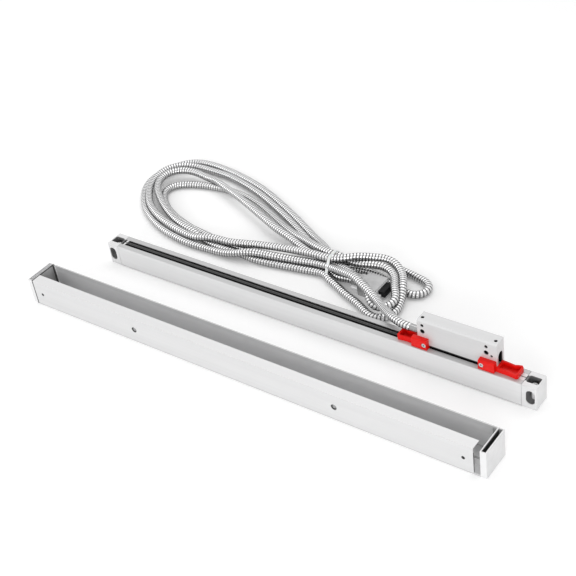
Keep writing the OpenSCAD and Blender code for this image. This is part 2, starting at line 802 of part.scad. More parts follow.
module channel_section() {
    difference() {
        square([cover_w, cover_h]);
        translate([cover_wall, cover_wall])
            square([cover_w - 2 * cover_wall, cover_h - 2 * cover_wall]);
        translate([cover_lip_w, cover_h / 2]) square([cover_w - cover_lip_w - cover_wall, cover_h]);
    }
}
module cover_channel() {
    color("silver") at_cover() difference() {
        translate([channel_x, 0, 0]) along_x(channel_len) channel_section();
        // The front wall and its lip stop short of the right-hand end
        translate([channel_x + channel_len - cover_notch, -1, cover_wall])
            cube([cover_notch + 1, cover_lip_w + 2, cover_h]);
        // Countersunk holes
        for (s = [-1, 1])
            translate([cover_len / 2 + s * cover_hole_pitch / 2 - 4, 0, cover_mid_z]) {
                translate([0, -1, 0]) rod_y(cover_hole_d, cover_wall + 2);
                translate([0, -eps, 0]) rotate([-90, 0, 0])
                    cylinder(d1 = cover_sink_d, d2 = cover_hole_d, h = cover_sink_depth);
            }
        cover_screw_spots() translate([0, -1, 0]) rod_y(hole_3, cover_wall + 2);
    }
}
// The two places where an end is screwed to the front wall
right_tab_reach = cover_notch + cover_screw_from_end - 2;
module cover_screw_spots() {
    for (x = [channel_x + cover_screw_from_end, channel_x + channel_len - right_tab_reach])
        translate([x, 0, cover_mid_z]) children();
}

tab_t = 3;
tab_h = 9;
tab_past_screw = 4;
rail_t = 1.5;
rail_len = 5;
// Left-hand end: a hollow plate, open above, with a tab along the front wall
module cover_end(tab_reach) {
    e = cover_end_wall;
    difference() {
        cube([cover_end_t, cover_w, cover_h]);
        translate([e, e, e]) cube([cover_end_t - 2 * e, cover_w - 2 * e, cover_h]);
    }
    // Tab behind the front wall that takes the screw
    difference() {
        translate([cover_end_t - eps, cover_wall + fit, cover_mid_z - tab_h / 2])
            cube([tab_reach + tab_past_screw, tab_t, tab_h]);
        translate([cover_end_t + tab_reach, 0, cover_mid_z]) rod_y(thread_3, tab_t + 4);
    }
    // Rail along the back wall
    translate([cover_end_t - eps, cover_w - cover_wall - fit - rail_t, cover_wall + fit])
        cube([rail_len, rail_t, cover_h - cover_wall - fit]);
}
module cover_end_left() {
    color("whitesmoke") at_cover() cover_end(cover_screw_from_end);
}
module cover_end_right() {
    color("whitesmoke") at_cover() translate([cover_len, 0, 0]) mirror([1, 0, 0])
        cover_end(right_tab_reach);
}
module cover_screws() {
    color("dimgray") at_cover() cover_screw_spots() difference() {
        union() {
            translate([0, 0.2, 0]) rod_y(3, 1.2);
            translate([0, 0.2, 0]) rod_y(shank_3, cover_wall + tab_t - 0.4);
        }
        translate([0, 0.1, 0]) rotate([-90, 0, 0]) cylinder(d = 1.6, h = 1, $fn = 6);
    }
}

// ---- Cable ----

// Ferrule crimped on the hose and held in the head's outlet
module cable_ferrule() {
    color("gainsboro") at_head() translate([-ferrule_len, outlet_y, outlet_z]) difference() {
        rod_x(ferrule_d, ferrule_len + outlet_x - 2);
        translate([2, 0, 0]) rod_x(ferrule_d - 3, ferrule_len + outlet_x);
    }
}

// The plug's flange, as it lies on the floor
flange_x = 376;
plug_y = 103.5;
plug_z = hood_t / 2;
// Routes are chosen by hand, in the frame of the scale as it stands
lead_end = [head_x - ferrule_len, head_front_y + outlet_y, head_z + outlet_z];
lead_route = [lead_end, lead_end - [9, 0, 0], [446, 23, 44], [432, 33, 39.5],
    [418, 43.5, 34.5], [404, 54.5, 31], [390, 64, 29.5], [384.4, 67.05, 29.5]];
lead_dirs = [[-1, 0, 0], unit([-15.7, 8.7, 0])];
tail_dirs = [[1, 0, 0], [1, 0, 0]];
tail_route = [[304, 102, 5.3], [311, 102, 5.5], [319, 103, 7], [325, plug_y, plug_z],
    [flange_x - hood_len, plug_y, plug_z]];
hank_outer = [[258, 150], [283, 132.4], [300, 132.4], [320, 148], [338, 160], [358, 160],
    [380, 150], [405, 150], [424, 142], [432, 128], [422, 113], [420, 95], [421, 75],
    [414, 59], [400, 51], [384, 57], [368, 66]];
hank_lobe = [[374, 80], [387, 77], [397, 84], [399, 95], [393, 110], [388, 121],
    [376, 129], [360, 133], [345, 134], [325, 127], [304, 121]];
hank_lower = [[304, 95], [287, 95], [240, 87], [200, 83], [150, 77], [95, 73], [60, 74],
    [30, 79], [0, 89], [-35, 108], [-56, 124], [-72, 142], [-84, 165], [-88, 190],
    [-84, 218], [-74, 240], [-55, 252], [-15, 257], [45, 249], [112, 229], [170, 199],
    [228, 168]];
hank_hole = [[-36, 163], [-31, 178], [-20, 190], [0, 198], [30, 202], [62, 202],
    [95, 192], [135, 168], [175, 143], [204, 124], [185, 115], [150, 110], [115, 107],
    [80, 107], [45, 111], [15, 121], [-10, 135], [-28, 149]];
hank_bar = [[388.9, 75.2], [342, 104], [311, 112], [296, 112], [296, 95], [316, 89],
    [345, 81], [368, 67], [380.2, 59.5]];
hank_bar_end = [[388.9, 75.2], [342, 104], [334, 106.3], [334, 84], [345, 81], [368, 67],
    [380.2, 59.5]];
hank_waist = [[270, 97], [286, 95.2], [300, 95.2], [300, 132.1], [286, 132.1], [270, 138]];
bar_z = 16.5;
bar_end_top = 34.8;
tie_x = 289;
tie_y0 = 94;
tie_y1 = 133.3;
tie_top = 31;
waist_h = tie_top - tie_t;

// Points of a smooth curve through a route, n steps for each stretch
function spline_point(a, b, c, d, t) = 0.5 * (2 * b + (c - a) * t
    + (2 * a - 5 * b + 4 * c - d) * t * t + (3 * b - a - 3 * c + d) * t * t * t);
function smooth(route, n) = let (m = len(route)) [for (i = [0 : m - 2], k = [0 : n - 1])
    spline_point(route[max(i - 1, 0)], route[i], route[i + 1], route[min(i + 2, m - 1)], k / n),
    route[m - 1]];
function unit(v) = v / norm(v);
function tangent(p, i) = unit(p[min(i + 1, len(p) - 1)] - p[max(i - 1, 0)]);

// A plain round tube swept along a smooth route
module hose(route, ends, n, sides) {
    p = smooth(route, n);
    m = len(p);
    points = [for (i = [0 : m - 1])
        let (t = i == 0 ? ends[0] : i == m - 1 ? ends[1] : tangent(p, i),
            side = unit(cross(t, [0, 0, 1])), up = cross(side, t))
        for (k = [0 : sides - 1])
            p[i] + hose_d / 2 * (cos(360 * k / sides) * side + sin(360 * k / sides) * up)];
    walls = [for (i = [0 : m - 2], k = [0 : sides - 1]) let (j = (k + 1) % sides)
        [i * sides + k, i * sides + j, (i + 1) * sides + j, (i + 1) * sides + k]];
    first = [for (k = [sides - 1 : -1 : 0]) k];
    last = [for (k = [0 : sides - 1]) (m - 1) * sides + k];
    polyhedron(points, concat([first], walls, [last]), convexity = 6);
}
module cable_lead() { color("silver") at_scale() hose(lead_route, lead_dirs, 2, 12); }
module cable_tail() { color("silver") at_scale() hose(tail_route, tail_dirs, 2, 12); }

module tie_ring(play) {
    translate([tie_x - play, 0, 0]) along_x(tie_w + 2 * play) difference() {
        translate([tie_y0 - play, 0]) square([tie_y1 - tie_y0 + 2 * play, tie_top + play]);
        translate([tie_y0 + tie_t + play, tie_t + play])
            square([tie_y1 - tie_y0 - 2 * tie_t - 2 * play, tie_top - 2 * tie_t - 2 * play]);
    }
}
// The hank as one plain solid: two loops pinched by the tie, and the strands over the plug
module cable_hank() {
    color("silver") at_scale() difference() {
        union() {
            linear_extrude(hank_h) difference() {
                polygon(concat(smooth(hank_outer, 3), smooth(hank_lobe, 3), smooth(hank_lower, 3)));
                polygon(smooth(concat(hank_hole, [hank_hole[0]]), 3));
            }
            linear_extrude(waist_h) polygon(hank_waist);
            translate([0, 0, bar_z]) linear_extrude(waist_h - bar_z) polygon(hank_bar);
            translate([0, 0, bar_z]) linear_extrude(bar_end_top - bar_z) polygon(hank_bar_end);
        }
        // Groove for the tie
        tie_ring(0.05);
    }
}
module cable_tie() {
    color("white") at_scale() {
        tie_ring(0);
        translate([tie_x - 1, tie_y1 - eps, 8]) cube([tie_w + 2, 3.4, 5.5]);
    }
}

// ---- Plug ----

flange_t = 0.8;
hood_neck_w = 15;
thumb_head_len = 9;
shoulder_x = 15;
module at_plug() { at_scale() translate([flange_x, plug_y, 0]) children(); }

// Plan of the hood, with its front edge on x = 0
module hood_plan(inset) {
    w = hood_w / 2 - inset;
    n = hood_neck_w / 2 - inset;
    x1 = -hood_len + inset;
    s = -hood_len + shoulder_x + inset;
    polygon([[-inset, -w], [-inset, w], [s + 1, w], [s, w - 1], [s, n + 1],
        [s - 1, n], [x1 + 1.5, n], [x1, n - 1.5], [x1, 1.5 - n], [x1 + 1.5, -n],
        [s - 1, -n], [s, -n - 1], [s, 1 - w], [s + 1, -w]]);
}
// Lower half of the hood; the upper one is its mirror image
module hood_half() {
    difference() {
        linear_extrude(plug_z - 0.02) hood_plan(0);
        translate([0, 0, hood_wall]) linear_extrude(hood_t) difference() {
            hood_plan(hood_wall);
            // Blocks that guide the thumbscrews
            for (s = [-1, 1]) translate([3 - hood_len, s * thumb_pitch / 2 - 2.6])
                square([hood_len - 3, 5.2]);
        }
        // Mouth for the connector
        translate([-hood_wall - 1, -insert_w / 2 - fit, plug_z - flange_h / 2 + 1])
            cube([hood_wall + 2, insert_w + 2 * fit, flange_h]);
        // Bores of the thumbscrews and of the cable entry
        for (s = [-1, 1]) translate([-hood_len, s * thumb_pitch / 2, plug_z])
            rod_x(thumb_d + 0.2, hood_len + 1);
        translate([-hood_len - 1, 0, plug_z]) rod_x(hose_d - 3, hood_wall + 2);
    }
}
module plug_hood_lower() { color("lightgray") at_plug() hood_half(); }
module plug_hood_upper() {
    color("lightgray") at_plug() translate([0, 0, hood_t]) mirror([0, 0, 1]) hood_half();
}
module d_outline(w, h) {
    slant = 0.18 * h;
    polygon([[-w / 2, h / 2], [w / 2, h / 2], [w / 2 - slant, -h / 2], [slant - w / 2, -h / 2]]);
}
insert_h = 9.4;
module plug_shell() {
    color("silver") at_plug() translate([fit / 2, 0, plug_z]) difference() {
        along_x(flange_t) {
            translate([-flange_w / 2, -flange_h / 2]) round_rect(flange_w, flange_h, 2);
        }
        translate([-1, 0, 0]) along_x(flange_t + 2) d_outline(insert_w - 2 * fit, insert_h - 2 * fit);
        for (s = [-1, 1]) translate([-1, s * thumb_pitch / 2, 0]) rod_x(thumb_d + 0.2, flange_t + 2);
    }
}
pin_rows = [for (i = [0 : 4]) [(i - 2) * 2.77, 1.42], for (i = [0 : 3]) [(i - 1.5) * 2.77, -1.42]];
module plug_insert() {
    color("black") at_plug() translate([0, 0, plug_z]) difference() {
        union() {
            translate([-6, 0, 0]) along_x(6 + flange_t + fit)
                d_outline(insert_w - 4 * fit, insert_h - 4 * fit);
            translate([flange_t + fit, 0, 0]) along_x(insert_len - flange_t - fit)
                d_outline(insert_w, insert_h);
        }
        for (p = pin_rows) translate([-8, p[0], p[1]]) rod_x(1.2, insert_len + 9);
    }
}
module plug_pins() {
    color("gold") at_plug() for (p = pin_rows) translate([-9, p[0], plug_z + p[1]])
        rod_x(1, insert_len + 8);
}
module thumbscrew(s) {
    color("silver") at_plug() translate([0, s * thumb_pitch / 2, plug_z]) {
        translate([-hood_len + shoulder_x - 0.3 - thumb_head_len, 0, 0]) {
            rod_x(thumb_head_d, thumb_head_len);
        }
        translate([-hood_len + shoulder_x - 0.3 - eps, 0, 0])
            rod_x(thumb_d, hood_len - shoulder_x + 0.3 + flange_t + 5);
    }
}
module thumbscrew_left() { thumbscrew(-1); }
module thumbscrew_right() { thumbscrew(1); }

housing();
end_cap_left();
end_cap_right();
cap_screws();
cap_gaskets();
mounting_bushes();
lip_seal_front();
lip_seal_rear();
lip_clamp_left();
lip_clamp_right();
glass_scale();
glass_wedge_strip();
end_buffers();
head_body();
head_base_plate();
head_base_screws();
head_circuit_board();
head_set_screw();
coupling_blade();
blade_rivets();
carriage_frame();
roller_axles();
coupling_spring();
lamp_board();
detector_board();
reticle();
face_roller_left();
face_roller_middle();
face_roller_right();
edge_roller_left();
edge_roller_right();
bracket_left();
bracket_right();
bracket_screws();
cable_ferrule();
cable_lead();
cable_hank();
cable_tail();
cable_tie();
plug_hood_upper();
plug_hood_lower();
plug_shell();
plug_insert();
plug_pins();
thumbscrew_left();
thumbscrew_right();
cover_channel();
cover_end_left();
cover_end_right();
cover_screws();
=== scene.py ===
"""Linear glass scale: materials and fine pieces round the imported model. Metres, +Z up."""
import json
import math

import bmesh
import bpy
import numpy as np
from mathutils import Matrix, Vector


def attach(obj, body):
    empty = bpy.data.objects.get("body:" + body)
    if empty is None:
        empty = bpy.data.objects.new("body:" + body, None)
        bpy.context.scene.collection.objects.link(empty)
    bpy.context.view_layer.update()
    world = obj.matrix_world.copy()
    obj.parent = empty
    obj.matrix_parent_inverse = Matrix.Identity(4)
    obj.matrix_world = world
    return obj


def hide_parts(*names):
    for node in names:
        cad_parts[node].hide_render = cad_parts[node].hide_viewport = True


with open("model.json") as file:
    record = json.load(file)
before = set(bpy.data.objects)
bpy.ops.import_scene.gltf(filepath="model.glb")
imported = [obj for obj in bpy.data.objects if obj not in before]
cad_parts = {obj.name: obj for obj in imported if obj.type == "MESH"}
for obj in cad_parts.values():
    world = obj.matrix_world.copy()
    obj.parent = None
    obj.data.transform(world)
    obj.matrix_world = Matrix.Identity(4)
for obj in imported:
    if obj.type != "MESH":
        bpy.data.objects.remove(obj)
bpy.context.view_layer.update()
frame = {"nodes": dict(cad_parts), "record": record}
nodes = frame["nodes"]
scene = bpy.context.scene


def corners_of(name):
    """The least and the greatest corner of a node's box."""
    spots = [tuple(spot) for spot in nodes[name].bound_box]
    return [[round(pick(values), 6) for values in zip(*spots)] for pick in (min, max)]


# The scale's own frame is in millimetres from its left front corner
SCALE_X, SCALE_Y = corners_of("end_cap_left")[0][:2]


def at_scale(x, y, z):
    return Vector((SCALE_X + x / 1000, SCALE_Y + y / 1000, z / 1000))


def block_of(*names):
    """The box round some nodes, in the scale's frame: its least corner, middle and half size."""
    lows, highs = zip(*(corners_of(name) for name in names))
    start = (SCALE_X, SCALE_Y, 0)
    low = [round((min(values) - zero) * 1000, 3) for values, zero in zip(zip(*lows), start)]
    high = [round((max(values) - zero) * 1000, 3) for values, zero in zip(zip(*highs), start)]
    middle = [(a + b) / 2 for a, b in zip(low, high)]
    half = [(b - a) / 2 for a, b in zip(low, high)]
    return low, middle, half


def placed(name, data):
    """A new object of the scene."""
    item = bpy.data.objects.new(name, data)
    scene.collection.objects.link(item)
    return item


# ---- Camera ----

CAMERA_PLACE = (0.7894, -0.85185, 0.9447)
AZIMUTH, ELEVATION, ROLL = (math.radians(degrees) for degrees in (41.10, 36.64, -9.08))
SENSOR_WIDTH, LENS = 36, 76.175


def aimed_camera():
    data = bpy.data.cameras.new("camera")
    data.sensor_width, data.lens = SENSOR_WIDTH, LENS
    data.clip_start, data.clip_end = 0.05, 20
    forward = Vector((-math.sin(AZIMUTH) * math.cos(ELEVATION),
                      math.cos(AZIMUTH) * math.cos(ELEVATION), -math.sin(ELEVATION)))
    level = Vector((math.cos(AZIMUTH), math.sin(AZIMUTH), 0))
    upright = level.cross(forward)
    right = math.cos(ROLL) * level + math.sin(ROLL) * upright
    up = -math.sin(ROLL) * level + math.cos(ROLL) * upright
    turn = Matrix((right, up, -forward)).transposed()
    camera = placed("camera", data)
    camera.matrix_world = Matrix.Translation(CAMERA_PLACE) @ turn.to_4x4()
    return camera


scene.camera = aimed_camera()

# ---- Room and lamps ----

WHITE = (1, 1, 1, 1)
ROOM_LIGHT = 0.60
LAMPS = (
    # name, place, width and height, watts
    ("overhead", (-0.1, 0.7, 1.8), (2.2, 1.2), 9.5),
    ("left side", (-1.7, -0.5, 0.9), (1.4, 0.9), 7),
    ("front", (0.8, -1.8, 0.7), (2.0, 0.7), 20),
)


def node_of(tree, kind, **inputs):
    node = tree.nodes.new("ShaderNode" + kind)
    for name, value in inputs.items():
        node.inputs[name.replace("_", " ")].default_value = value
    return node


def calc(tree, kind, a, b=0.0):
    """A Math node on two outputs or numbers."""
    node = node_of(tree, "Math")
    node.operation = kind
    for socket, value in zip(node.inputs, (a, b)):
        if isinstance(value, (int, float)):
            socket.default_value = value
        else:
            tree.links.new(value, socket)
    return node.outputs[0]


def studio_world():
    """A soft room that lights the object, white where the camera, metal or glass sees it."""
    world = bpy.data.worlds.new("studio")
    world.use_nodes = True
    tree = world.node_tree
    tree.nodes.clear()
    rays = node_of(tree, "LightPath")
    seen = rays.outputs["Is Camera Ray"]
    for kind in ("Is Glossy Ray", "Is Transmission Ray"):
        seen = calc(tree, "MAXIMUM", seen, rays.outputs[kind])
    soft = node_of(tree, "Background", Color=WHITE, Strength=ROOM_LIGHT)
    white = node_of(tree, "Background", Color=WHITE, Strength=1.0)
    mix = node_of(tree, "MixShader")
    tree.links.new(seen, mix.inputs[0])
    tree.links.new(soft.outputs[0], mix.inputs[1])
    tree.links.new(white.outputs[0], mix.inputs[2])
    tree.links.new(mix.outputs[0], node_of(tree, "OutputWorld").inputs[0])
    return world


def softbox(name, place, size, watts):
    """A rectangular lamp that points at the middle of the floor."""
    data = bpy.data.lights.new(name, "AREA")
    data.shape = "RECTANGLE"
    data.size, data.size_y = size
    data.energy = watts
    lamp = placed(name, data)
    lamp.location = place
    lamp.rotation_euler = (-Vector(place)).to_track_quat("-Z", "Y").to_euler()


scene.view_settings.view_transform = "Standard"
scene.world = studio_world()
for lamp_values in LAMPS:
    softbox(*lamp_values)

# ---- Tools for finishes ----

# Sockets of the Mix node when it mixes colours
COLOR_A, COLOR_B, COLOR_OUT = 6, 7, 2


def shader_of(material):
    return material.node_tree.nodes["Principled BSDF"]


def finish(name, color, metallic=0.0, rough=0.4, **sockets):
    material = bpy.data.materials.new(name)
    material.use_nodes = True
    inputs = shader_of(material).inputs
    inputs["Base Color"].default_value = (*color, 1)
    inputs["Metallic"].default_value = metallic
    inputs["Roughness"].default_value = rough
    for socket, value in sockets.items():
        inputs[socket.replace("_", " ")].default_value = value
    return material


def link(material, output, socket):
    material.node_tree.links.new(output, shader_of(material).inputs[socket])


def grey(level):
    """A neutral tone from its shown value, 0 to 255."""
    v = level / 255
    v = v / 12.92 if v <= 0.04045 else ((v + 0.055) / 1.055) ** 2.4
    return (v, v, v * 1.005)


def grain(material, scale, stretch=(1, 1, 1), detail=4.0):
    """Noise on the piece's own coordinates, drawn out along an axis by a small stretch."""
    tree = material.node_tree
    mapping = node_of(tree, "Mapping", Scale=stretch)
    noise = node_of(tree, "TexNoise", Scale=scale, Detail=detail, Roughness=0.6)
    tree.links.new(node_of(tree, "TexCoord").outputs["Object"], mapping.inputs["Vector"])
    tree.links.new(mapping.outputs[0], noise.inputs["Vector"])
    return noise.outputs["Fac"]


def spread(material, value, low, high, socket):
    """Turns the middle range of a noise into a range of a socket."""
    tree = material.node_tree
    ramp = node_of(tree, "MapRange", From_Min=0.3, From_Max=0.7, To_Min=low, To_Max=high)
    tree.links.new(value, ramp.inputs["Value"])
    link(material, ramp.outputs[0], socket)


def tint(material, value, low, high):
    """Colour that wanders between two tones."""
    tree = material.node_tree
    ramp = node_of(tree, "ValToRGB")
    for stop, position, color in zip(ramp.color_ramp.elements, (0.3, 0.7), (low, high)):
        stop.position, stop.color = position, (*color, 1)
    tree.links.new(value, ramp.inputs[0])
    link(material, ramp.outputs[0], "Base Color")


def bump(material, value, height, strength=1.0):
    tree = material.node_tree
    node = node_of(tree, "Bump", Strength=strength, Distance=height)
    tree.links.new(value, node.inputs["Height"])
    link(material, node.outputs[0], "Normal")


def rise(tree, value, low, high):
    """0 at low and 1 at high, and steady beyond them; a fall when high is the smaller."""
    ramp = node_of(tree, "MapRange", From_Min=low, From_Max=high)
    tree.links.new(value, ramp.inputs["Value"])
    return ramp.outputs[0]


def both(tree, first, *others):
    """The share that several masks have in common."""
    for other in others:
        first = calc(tree, "MULTIPLY", first, other)
    return first


def places(material, origin):
    """Millimetres from a point of the scale's frame, on each axis."""
    tree = material.node_tree
    axes = node_of(tree, "SeparateXYZ")
    tree.links.new(node_of(tree, "TexCoord").outputs["Object"], axes.inputs[0])
    return [calc(tree, "MULTIPLY", calc(tree, "SUBTRACT", output, start), 1000.0)
            for output, start in zip(axes.outputs, at_scale(*origin))]


def paint(material, mask, level):
    """Lays a plain tone over the colour where the mask is 1."""
    tree = material.node_tree
    color = shader_of(material).inputs["Base Color"]
    mix = node_of(tree, "Mix")
    mix.data_type = "RGBA"
    if color.links:
        tree.links.new(color.links[0].from_socket, mix.inputs[COLOR_A])
    else:
        mix.inputs[COLOR_A].default_value = color.default_value
    tree.links.new(mask, mix.inputs[0])
    mix.inputs[COLOR_B].default_value = (*grey(level), 1)
    link(material, mix.outputs[COLOR_OUT], "Base Color")


def depth_in(material, middle, half, bevel=None):
    """How far a spot lies below the outer faces of a block, in millimetres.

    A bevel cuts both long top edges of the block at 45 degrees.
    """
    tree = material.node_tree
    off = places(material, middle)
    depths = [calc(tree, "SUBTRACT", size, calc(tree, "ABSOLUTE", away))
              for size, away in zip(half, off)]
    depth = calc(tree, "MINIMUM", calc(tree, "MINIMUM", depths[0], depths[1]), depths[2])
    if bevel:
        top = calc(tree, "SUBTRACT", half[2], off[2])
        slant = calc(tree, "SUBTRACT", calc(tree, "ADD", depths[1], top), bevel)
        depth = calc(tree, "MINIMUM", depth, slant)
    return depth


def shade_inside(material, middle, half, dark, bevel=None, start=0.3):
    """Bores, windows and hollows of a block get painted shade below its outer faces."""
    depth = depth_in(material, middle, half, bevel)
    paint(material, rise(material.node_tree, depth, start, start + 0.9), dark)


def anodised(name, low, high, rough=0.42, metal=0.35):
    """Satin anodised section, faintly drawn along its length."""
    material = finish(name, grey(high), metal, rough)
    tint(material, grain(material, 90, (0.02, 1, 1), 3), grey(low), grey(high))
    spread(material, grain(material, 700, (0.02, 1, 1), 2), rough - 0.06, rough + 0.08, "Roughness")
    bump(material, grain(material, 1500, (0.03, 1, 1), 2), 0.00002, 0.35)
    return material


def blasted(name, low, high, rough=0.5, metal=0.3):
    """Die-cast or blasted metal with a fine even tooth."""
    material = finish(name, grey(high), metal, rough)
    tint(material, grain(material, 60), grey(low), grey(high))
    bump(material, grain(material, 2600, (1, 1, 1), 2), 0.00003, 0.5)
    return material


def moulded(name, color, rough, tooth, height, strength=1.0, **sockets):
    """Plastic or rubber of one colour with a fine tooth."""
    material = finish(name, color, 0, rough, **sockets)
    bump(material, grain(material, tooth), height, strength)
    return material


# ---- Finishes of the scale ----

scale_low, scale_middle, scale_half = block_of("end_cap_left", "end_cap_right")
SCALE_W, SCALE_H = (2 * size for size in scale_half[1:])
HEAD_BEVEL = 2.2


def body_finish():
    """The section: a painted shadow line along its bottom edge, painted shade on its top and a
    painted shade line along its rear top edge.
    """
    material = anodised("anodised body", 217, 223)
    tree = material.node_tree
    _, y, z = places(material, scale_low)
    # Painted shade: a shadow line along the bottom edge, a darker top face and a darker line along
    # the rear top edge
    foot_shadow = rise(tree, z, 0.9, 0.3)
    top = rise(tree, z, SCALE_H - 0.4, SCALE_H - 0.1)
    rear_edge_shade = both(tree, rise(tree, y, SCALE_W - 1.3, SCALE_W - 0.7),
                     rise(tree, z, SCALE_H - 1.2, SCALE_H - 0.6))
    for mask, level in ((foot_shadow, 95), (top, 190), (rear_edge_shade, 178)):
        paint(material, mask, level)
    return material


def head_finish():
    """The head's block: painted shade in its bores, and a painted shadow line along its bottom
    edge.
    """
    material = anodised("anodised head", 210, 217, 0.4)
    low, middle, half = block_of("head_body")
    # Painted shade in the bores, holes and recesses
    shade_inside(material, middle, half, 26, bevel=HEAD_BEVEL)
    _, _, z = places(material, (0, 0, low[2]))
    # Painted shadow line along the bottom edge of the head
    paint(material, rise(material.node_tree, z, 1.9, 1.4), 12)
    return material


def cap_finish():
    """The scale's end caps: painted shade, half dark, in their pockets and windows."""
    material = blasted("blasted caps", 219, 227)
    # Painted shade in the pockets and windows
    shade_inside(material, scale_middle, scale_half, 116)
    return material


def ferrule_finish():
    """Turned ferrule with a band of painted shade beside the head."""
    material = blasted("ferrule", 150, 172, 0.24, 0.9)
    x, _, _ = places(material, (block_of("head_body")[0][0], 0, 0))
    # Painted shade in the gap beside the head
    paint(material, rise(material.node_tree, x, -3.2, -2.4), 30)
    return material


def rubber_finish():
    """The lips: black, with a painted highlight along the middle where they meet."""
    material = finish("lip rubber", (0.002, 0.002, 0.002), 0, 0.34, Specular_IOR_Level=0.02)
    tree = material.node_tree
    _, y, z = places(material, (0, scale_middle[1], 0))
    # Painted highlight along the middle where the lips meet
    middle_highlight = both(tree, rise(tree, calc(tree, "ABSOLUTE", y), 2.2, 1.0), rise(tree, z, 29, 30))
    paint(material, middle_highlight, 106)
    spread(material, grain(material, 500, (0.05, 1, 1), 2), 0.28, 0.42, "Roughness")
    bump(material, grain(material, 1800, (0.1, 1, 1), 2), 0.00003, 0.4)
    return material


# ---- Finishes of the dust cover ----

cover_low, cover_middle, cover_half = block_of("cover_channel", "cover_end_left", "cover_end_right")
COVER_L, COVER_W, COVER_H = (2 * size for size in cover_half)
COVER_SCREWS_X = (21.5, COVER_L - 27.5)


def cover_finish():
    """The channel: painted light low on its inner walls and painted shade high on them and on its
    floor, painted shade on the cut ends of the front wall and at the left joint, a painted shadow
    line along its bottom edge, a painted lighter top on the front lip, and dark screw rims.
    """
    material = anodised("anodised cover", 207, 213, 0.45, 0.3)
    tree = material.node_tree
    x, y, z = places(material, cover_low)
    # Inside: painted light low on the walls, painted shade high up and on the floor; painted shade
    # on the front wall's cut ends
    inner = both(tree, rise(tree, y, 1.5, 1.6), rise(tree, y, COVER_W - 0.8, COVER_W - 1.4),
                 rise(tree, z, COVER_H - 0.1, COVER_H - 0.3))
    upper_inner_shade = both(tree, inner, rise(tree, z, 22, 33))
    inner_floor_shade = both(tree, inner, rise(tree, z, 2.4, 2.0))
    cut_end_shade = both(tree, rise(tree, y, 0.2, 0.5), rise(tree, y, 1.55, 1.45), rise(tree, z, 31, 30),
                   rise(tree, z, 2.2, 3))
    for mask, level in ((inner, 242), (upper_inner_shade, 198), (inner_floor_shade, 196), (cut_end_shade, 40)):
        paint(material, mask, level)
    for screw_x in COVER_SCREWS_X:
        along, over = calc(tree, "SUBTRACT", x, screw_x), calc(tree, "SUBTRACT", z, cover_middle[2])
        off = calc(tree, "SQRT", calc(tree, "ADD", calc(tree, "MULTIPLY", along, along),
                                      calc(tree, "MULTIPLY", over, over)))
        paint(material, both(tree, rise(tree, off, 2.4, 2.0), rise(tree, y, 1.0, 0.5)), 36)
    # Painted light on the front lip's top, a painted shadow line along the bottom edge, painted
    # shade at the left joint
    front_lip_light = both(tree, rise(tree, z, COVER_H - 0.3, COVER_H - 0.1), rise(tree, y, 15, 14))
    foot_shadow = rise(tree, z, 0.8, 0.3)
    left_joint_shade = rise(tree, x, 8.6, 8.3)
    for mask, level in ((front_lip_light, 222), (foot_shadow, 165), (left_joint_shade, 46)):
        paint(material, mask, level)
    return material


def cover_right_finish():
    """The right end: painted shade in its slot, and lighter painted shade on the tab inside the
    channel.
    """
    material = blasted("blasted right cover end", 219, 227)
    # Painted shade in the slot and hollows
    shade_inside(material, cover_middle, cover_half, 62, start=0.9)
    x, _, _ = places(material, cover_low)
    # Lighter painted shade on the tab inside the channel
    paint(material, rise(material.node_tree, x, COVER_L - 7.6, COVER_L - 7.8), 150)
    return material


def cover_left_finish():
    """The left end: painted light in its slot inside a painted dark reflection, painted shade at
    the joint and on the grey rail inside the channel, a grey band on its deep inner face, and pale
    again past the rail's end.
    """
    material = blasted("blasted left cover end", 219, 227)
    tree = material.node_tree
    depth = depth_in(material, cover_middle, cover_half)
    x, _, _ = places(material, cover_low)
    # Painted dark reflection round the slot and painted light inside it; painted shade at the joint
    # and on the rail
    outline, slot = rise(tree, depth, 0.1, 0.3), rise(tree, depth, 0.7, 0.9)
    joint, rail = rise(tree, x, 6.5, 6.8), rise(tree, x, 7.6, 7.8)
    rail_end = rise(tree, x, 11.7, 11.9)
    inner_face = both(tree, rise(tree, x, 7.4, 7.45), rise(tree, depth, 1.2, 1.6))
    for mask, level in ((outline, 50), (slot, 250), (joint, 60), (inner_face, 188), (rail, 70),
                        (rail_end, 235)):
        paint(material, mask, level)
    return material


# ---- Other finishes ----

bright_steel = blasted("turned steel", 196, 212, 0.2, 0.95)

red_plastic = moulded("red plastic", (0.76, 0.006, 0.004), 0.36, 1400, 0.00003, 0.35,
                      Specular_IOR_Level=0.22)
tint(red_plastic, grain(red_plastic, 80), (0.69, 0.005, 0.003), (0.80, 0.008, 0.005))

gold = blasted("gilt contacts", 200, 220, 0.25, 1.0)
tint(gold, grain(gold, 300), (0.70, 0.45, 0.12), (0.86, 0.62, 0.24))

board = moulded("circuit board", (0.02, 0.16, 0.07), 0.35, 900, 0.00004, 0.4)
tint(board, grain(board, 400), (0.015, 0.13, 0.055), (0.03, 0.20, 0.09))

nylon = moulded("nylon tie", (0.82, 0.82, 0.80), 0.35, 900, 0.00003, 0.3, Subsurface_Weight=0.1)

